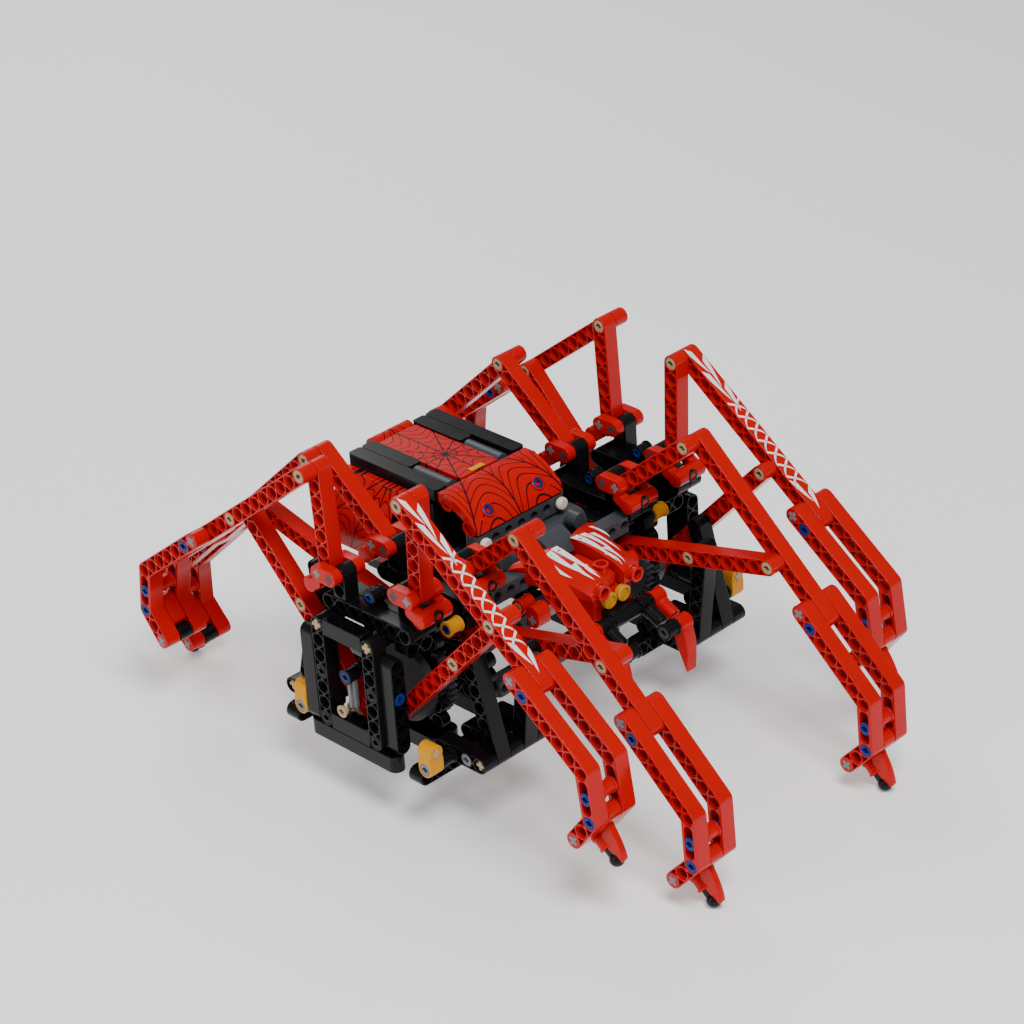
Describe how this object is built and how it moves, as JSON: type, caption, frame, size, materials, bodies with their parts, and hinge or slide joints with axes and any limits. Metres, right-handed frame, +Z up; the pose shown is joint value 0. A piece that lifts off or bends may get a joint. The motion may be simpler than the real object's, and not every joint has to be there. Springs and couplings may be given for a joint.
{
  "type": "walking robot",
  "caption": "Crank-driven legged walking robot built from pin-hole beams, with paired linkage legs on two side gearboxes, a ribbed abdomen, a small head and curved foot claws.",
  "frame": {"origin": "on the floor under the middle of the bounding box", "axes": "+X to the walker's left, -Y to its front, +Z up"},
  "size_m": [0.2158, 0.3412, 0.1615],
  "materials": {
    "red": "moulded gloss",
    "black": "moulded gloss",
    "dark_grey": "moulded gloss",
    "mid_grey": "moulded gloss",
    "cream": "moulded gloss"
  },
  "bodies": {
    "chassis": {"gearbox_frames": "black", "gearbox_beams": "black", "rocker_yokes": "red", "yoke_posts": "black", "spine": "black", "battery_box": "dark_grey", "drive_motors": "dark_grey", "abdomen_rails": "black", "abdomen_panel": "red", "bonnet": "red", "side_fairings": "red", "head_cheeks": "red", "head_block": "red", "eyes_and_lamps": "cream"},
    "crank_r": {"crank_r": "mid_grey"},
    "pinion_r": {"pinion_r": "mid_grey"},
    "jaw_r": {"jaw_r": "red"},
    "rocker_fo_r": {"upper_rocker_fo_r": "red"},
    "leg_fo_r": {"thigh_fo_r": "red", "shin_fo_r": "red"},
    "arm_fo_r": {"arm_fo_r": "red"},
    "lower_fo_r": {"lower_rocker_fo_r": "black"},
    "rocker_ro_r": {"upper_rocker_ro_r": "red"},
    "leg_ro_r": {"thigh_ro_r": "red", "shin_ro_r": "red"},
    "arm_ro_r": {"arm_ro_r": "red"},
    "lower_ro_r": {"lower_rocker_ro_r": "black"},
    "rocker_fi_r": {"upper_rocker_fi_r": "red"},
    "leg_fi_r": {"thigh_fi_r": "red", "shin_fi_r": "red"},
    "arm_fi_r": {"arm_fi_r": "red"},
    "lower_fi_r": {"lower_rocker_fi_r": "black"},
    "rocker_ri_r": {"upper_rocker_ri_r": "red"},
    "leg_ri_r": {"thigh_ri_r": "red", "shin_ri_r": "red"},
    "arm_ri_r": {"arm_ri_r": "red"},
    "lower_ri_r": {"lower_rocker_ri_r": "black"},
    "crank_l": {"crank_l": "mid_grey"},
    "pinion_l": {"pinion_l": "mid_grey"},
    "jaw_l": {"jaw_l": "red"},
    "rocker_fo_l": {"upper_rocker_fo_l": "red"},
    "leg_fo_l": {"thigh_fo_l": "red", "shin_fo_l": "red"},
    "arm_fo_l": {"arm_fo_l": "red"},
    "lower_fo_l": {"lower_rocker_fo_l": "black"},
    "rocker_ro_l": {"upper_rocker_ro_l": "red"},
    "leg_ro_l": {"thigh_ro_l": "red", "shin_ro_l": "red"},
    "arm_ro_l": {"arm_ro_l": "red"},
    "lower_ro_l": {"lower_rocker_ro_l": "black"},
    "rocker_fi_l": {"upper_rocker_fi_l": "red"},
    "leg_fi_l": {"thigh_fi_l": "red", "shin_fi_l": "red"},
    "arm_fi_l": {"arm_fi_l": "red"},
    "lower_fi_l": {"lower_rocker_fi_l": "black"},
    "rocker_ri_l": {"upper_rocker_ri_l": "red"},
    "leg_ri_l": {"thigh_ri_l": "red", "shin_ri_l": "red"},
    "arm_ri_l": {"arm_ri_l": "red"},
    "lower_ri_l": {"lower_rocker_ri_l": "black"}
  },
  "joints": [
    {"name": "crank_r_turn", "type": "hinge", "parent": "chassis", "child": "crank_r", "pos_m": [-0.068, 0, 0.05364], "axis": [1, 0, 0], "range_deg": [-30, 30]},
    {"name": "pinion_r_turn", "type": "hinge", "parent": "chassis", "child": "pinion_r", "pos_m": [-0.0632, 0, 0.08564], "axis": [1, 0, 0], "range_deg": [-51, 51]},
    {"name": "jaw_r_tilt", "type": "hinge", "parent": "chassis", "child": "jaw_r", "pos_m": [-0.01632, -0.0644, 0.07724], "axis": [1, 0, 0], "range_deg": [-15, 15]},
    {"name": "rocker_fo_r_swing", "type": "hinge", "parent": "chassis", "child": "rocker_fo_r", "pos_m": [-0.084, -0.024, 0.10965], "axis": [1, 0, 0], "range_deg": [-4.48, 4.48]},
    {"name": "leg_fo_r_swing", "type": "hinge", "parent": "rocker_fo_r", "child": "leg_fo_r", "pos_m": [-0.084, -0.02597, 0.1576], "axis": [1, 0, 0], "range_deg": [-7.83, 7.83]},
    {"name": "arm_fo_r_swing", "type": "hinge", "parent": "leg_fo_r", "child": "arm_fo_r", "pos_m": [-0.084, -0.077, 0.11898], "axis": [1, 0, 0], "range_deg": [-2.1, 2.1]},
    {"name": "lower_fo_r_swing", "type": "hinge", "parent": "chassis", "child": "lower_fo_r", "pos_m": [-0.072, -0.056, 0.03764], "axis": [1, 0, 0], "range_deg": [-8.63, 8.63]},
    {"name": "rocker_ro_r_swing", "type": "hinge", "parent": "chassis", "child": "rocker_ro_r", "pos_m": [-0.092, 0.024, 0.10965], "axis": [1, 0, 0], "range_deg": [-4.48, 4.48]},
    {"name": "leg_ro_r_swing", "type": "hinge", "parent": "rocker_ro_r", "child": "leg_ro_r", "pos_m": [-0.092, 0.02597, 0.1576], "axis": [1, 0, 0], "range_deg": [-7.83, 7.83]},
    {"name": "arm_ro_r_swing", "type": "hinge", "parent": "leg_ro_r", "child": "arm_ro_r", "pos_m": [-0.092, 0.077, 0.11898], "axis": [1, 0, 0], "range_deg": [-2.1, 2.1]},
    {"name": "lower_ro_r_swing", "type": "hinge", "parent": "chassis", "child": "lower_ro_r", "pos_m": [-0.08, 0.056, 0.03764], "axis": [1, 0, 0], "range_deg": [-8.63, 8.63]},
    {"name": "rocker_fi_r_swing", "type": "hinge", "parent": "chassis", "child": "rocker_fi_r", "pos_m": [-0.052, -0.024, 0.10965], "axis": [1, 0, 0], "range_deg": [-9.57, 9.57]},
    {"name": "leg_fi_r_swing", "type": "hinge", "parent": "rocker_fi_r", "child": "leg_fi_r", "pos_m": [-0.052, -0.06121, 0.13997], "axis": [1, 0, 0], "range_deg": [-14.47, 14.47]},
    {"name": "arm_fi_r_swing", "type": "hinge", "parent": "leg_fi_r", "child": "arm_fi_r", "pos_m": [-0.052, -0.10862, 0.09697], "axis": [1, 0, 0], "range_deg": [-6.33, 6.33]},
    {"name": "lower_fi_r_swing", "type": "hinge", "parent": "chassis", "child": "lower_fi_r", "pos_m": [-0.056, -0.056, 0.03764], "axis": [1, 0, 0], "range_deg": [-10.5, 10.5]},
    {"name": "rocker_ri_r_swing", "type": "hinge", "parent": "chassis", "child": "rocker_ri_r", "pos_m": [-0.06, 0.024, 0.10965], "axis": [1, 0, 0], "range_deg": [-9.57, 9.57]},
    {"name": "leg_ri_r_swing", "type": "hinge", "parent": "rocker_ri_r", "child": "leg_ri_r", "pos_m": [-0.06, 0.06121, 0.13997], "axis": [1, 0, 0], "range_deg": [-14.47, 14.47]},
    {"name": "arm_ri_r_swing", "type": "hinge", "parent": "leg_ri_r", "child": "arm_ri_r", "pos_m": [-0.06, 0.10862, 0.09697], "axis": [1, 0, 0], "range_deg": [-6.33, 6.33]},
    {"name": "lower_ri_r_swing", "type": "hinge", "parent": "chassis", "child": "lower_ri_r", "pos_m": [-0.064, 0.056, 0.03764], "axis": [1, 0, 0], "range_deg": [-10.5, 10.5]},
    {"name": "crank_l_turn", "type": "hinge", "parent": "chassis", "child": "crank_l", "pos_m": [0.068, 0, 0.05364], "axis": [1, 0, 0], "range_deg": [-30, 30]},
    {"name": "pinion_l_turn", "type": "hinge", "parent": "chassis", "child": "pinion_l", "pos_m": [0.0632, 0, 0.08564], "axis": [1, 0, 0], "range_deg": [-51, 51]},
    {"name": "jaw_l_tilt", "type": "hinge", "parent": "chassis", "child": "jaw_l", "pos_m": [0.01632, -0.0644, 0.07724], "axis": [1, 0, 0], "range_deg": [-15, 15]},
    {"name": "rocker_fo_l_swing", "type": "hinge", "parent": "chassis", "child": "rocker_fo_l", "pos_m": [0.084, -0.024, 0.10965], "axis": [1, 0, 0], "range_deg": [-4.48, 4.48]},
    {"name": "leg_fo_l_swing", "type": "hinge", "parent": "rocker_fo_l", "child": "leg_fo_l", "pos_m": [0.084, -0.02597, 0.1576], "axis": [1, 0, 0], "range_deg": [-7.83, 7.83]},
    {"name": "arm_fo_l_swing", "type": "hinge", "parent": "leg_fo_l", "child": "arm_fo_l", "pos_m": [0.084, -0.077, 0.11898], "axis": [1, 0, 0], "range_deg": [-2.1, 2.1]},
    {"name": "lower_fo_l_swing", "type": "hinge", "parent": "chassis", "child": "lower_fo_l", "pos_m": [0.072, -0.056, 0.03764], "axis": [1, 0, 0], "range_deg": [-8.63, 8.63]},
    {"name": "rocker_ro_l_swing", "type": "hinge", "parent": "chassis", "child": "rocker_ro_l", "pos_m": [0.092, 0.024, 0.10965], "axis": [1, 0, 0], "range_deg": [-4.48, 4.48]},
    {"name": "leg_ro_l_swing", "type": "hinge", "parent": "rocker_ro_l", "child": "leg_ro_l", "pos_m": [0.092, 0.02597, 0.1576], "axis": [1, 0, 0], "range_deg": [-7.83, 7.83]},
    {"name": "arm_ro_l_swing", "type": "hinge", "parent": "leg_ro_l", "child": "arm_ro_l", "pos_m": [0.092, 0.077, 0.11898], "axis": [1, 0, 0], "range_deg": [-2.1, 2.1]},
    {"name": "lower_ro_l_swing", "type": "hinge", "parent": "chassis", "child": "lower_ro_l", "pos_m": [0.08, 0.056, 0.03764], "axis": [1, 0, 0], "range_deg": [-8.63, 8.63]},
    {"name": "rocker_fi_l_swing", "type": "hinge", "parent": "chassis", "child": "rocker_fi_l", "pos_m": [0.052, -0.024, 0.10965], "axis": [1, 0, 0], "range_deg": [-9.57, 9.57]},
    {"name": "leg_fi_l_swing", "type": "hinge", "parent": "rocker_fi_l", "child": "leg_fi_l", "pos_m": [0.052, -0.06121, 0.13997], "axis": [1, 0, 0], "range_deg": [-14.47, 14.47]},
    {"name": "arm_fi_l_swing", "type": "hinge", "parent": "leg_fi_l", "child": "arm_fi_l", "pos_m": [0.052, -0.10862, 0.09697], "axis": [1, 0, 0], "range_deg": [-6.33, 6.33]},
    {"name": "lower_fi_l_swing", "type": "hinge", "parent": "chassis", "child": "lower_fi_l", "pos_m": [0.056, -0.056, 0.03764], "axis": [1, 0, 0], "range_deg": [-10.5, 10.5]},
    {"name": "rocker_ri_l_swing", "type": "hinge", "parent": "chassis", "child": "rocker_ri_l", "pos_m": [0.06, 0.024, 0.10965], "axis": [1, 0, 0], "range_deg": [-9.57, 9.57]},
    {"name": "leg_ri_l_swing", "type": "hinge", "parent": "rocker_ri_l", "child": "leg_ri_l", "pos_m": [0.06, 0.06121, 0.13997], "axis": [1, 0, 0], "range_deg": [-14.47, 14.47]},
    {"name": "arm_ri_l_swing", "type": "hinge", "parent": "leg_ri_l", "child": "arm_ri_l", "pos_m": [0.06, 0.10862, 0.09697], "axis": [1, 0, 0], "range_deg": [-6.33, 6.33]},
    {"name": "lower_ri_l_swing", "type": "hinge", "parent": "chassis", "child": "lower_ri_l", "pos_m": [0.064, 0.056, 0.03764], "axis": [1, 0, 0], "range_deg": [-10.5, 10.5]}
  ],
  "couplings": [
    {"joint": "pinion_r_turn", "follows": "crank_r_turn", "ratio": -1.6667},
    {"joint": "rocker_fo_r_swing", "follows": "crank_r_turn", "ratio": -0.13259},
    {"joint": "leg_fo_r_swing", "follows": "crank_r_turn", "ratio": 0.24438},
    {"joint": "arm_fo_r_swing", "follows": "crank_r_turn", "ratio": -0.053301},
    {"joint": "lower_fo_r_swing", "follows": "crank_r_turn", "ratio": -0.2711},
    {"joint": "rocker_ro_r_swing", "follows": "crank_r_turn", "ratio": -0.13259},
    {"joint": "leg_ro_r_swing", "follows": "crank_r_turn", "ratio": 0.24438},
    {"joint": "arm_ro_r_swing", "follows": "crank_r_turn", "ratio": -0.053301},
    {"joint": "lower_ro_r_swing", "follows": "crank_r_turn", "ratio": -0.2711},
    {"joint": "rocker_fi_r_swing", "follows": "crank_r_turn", "ratio": 0.30233},
    {"joint": "leg_fi_r_swing", "follows": "crank_r_turn", "ratio": -0.46558},
    {"joint": "arm_fi_r_swing", "follows": "crank_r_turn", "ratio": 0.19422},
    {"joint": "lower_fi_r_swing", "follows": "crank_r_turn", "ratio": 0.33342},
    {"joint": "rocker_ri_r_swing", "follows": "crank_r_turn", "ratio": 0.30233},
    {"joint": "leg_ri_r_swing", "follows": "crank_r_turn", "ratio": -0.46558},
    {"joint": "arm_ri_r_swing", "follows": "crank_r_turn", "ratio": 0.19422},
    {"joint": "lower_ri_r_swing", "follows": "crank_r_turn", "ratio": 0.33342},
    {"joint": "pinion_l_turn", "follows": "crank_l_turn", "ratio": -1.6667},
    {"joint": "rocker_fo_l_swing", "follows": "crank_l_turn", "ratio": -0.13259},
    {"joint": "leg_fo_l_swing", "follows": "crank_l_turn", "ratio": 0.24438},
    {"joint": "arm_fo_l_swing", "follows": "crank_l_turn", "ratio": -0.053301},
    {"joint": "lower_fo_l_swing", "follows": "crank_l_turn", "ratio": -0.2711},
    {"joint": "rocker_ro_l_swing", "follows": "crank_l_turn", "ratio": -0.13259},
    {"joint": "leg_ro_l_swing", "follows": "crank_l_turn", "ratio": 0.24438},
    {"joint": "arm_ro_l_swing", "follows": "crank_l_turn", "ratio": -0.053301},
    {"joint": "lower_ro_l_swing", "follows": "crank_l_turn", "ratio": -0.2711},
    {"joint": "rocker_fi_l_swing", "follows": "crank_l_turn", "ratio": 0.30233},
    {"joint": "leg_fi_l_swing", "follows": "crank_l_turn", "ratio": -0.46558},
    {"joint": "arm_fi_l_swing", "follows": "crank_l_turn", "ratio": 0.19422},
    {"joint": "lower_fi_l_swing", "follows": "crank_l_turn", "ratio": 0.33342},
    {"joint": "rocker_ri_l_swing", "follows": "crank_l_turn", "ratio": 0.30233},
    {"joint": "leg_ri_l_swing", "follows": "crank_l_turn", "ratio": -0.46558},
    {"joint": "arm_ri_l_swing", "follows": "crank_l_turn", "ratio": 0.19422},
    {"joint": "lower_ri_l_swing", "follows": "crank_l_turn", "ratio": 0.33342}
  ]
}
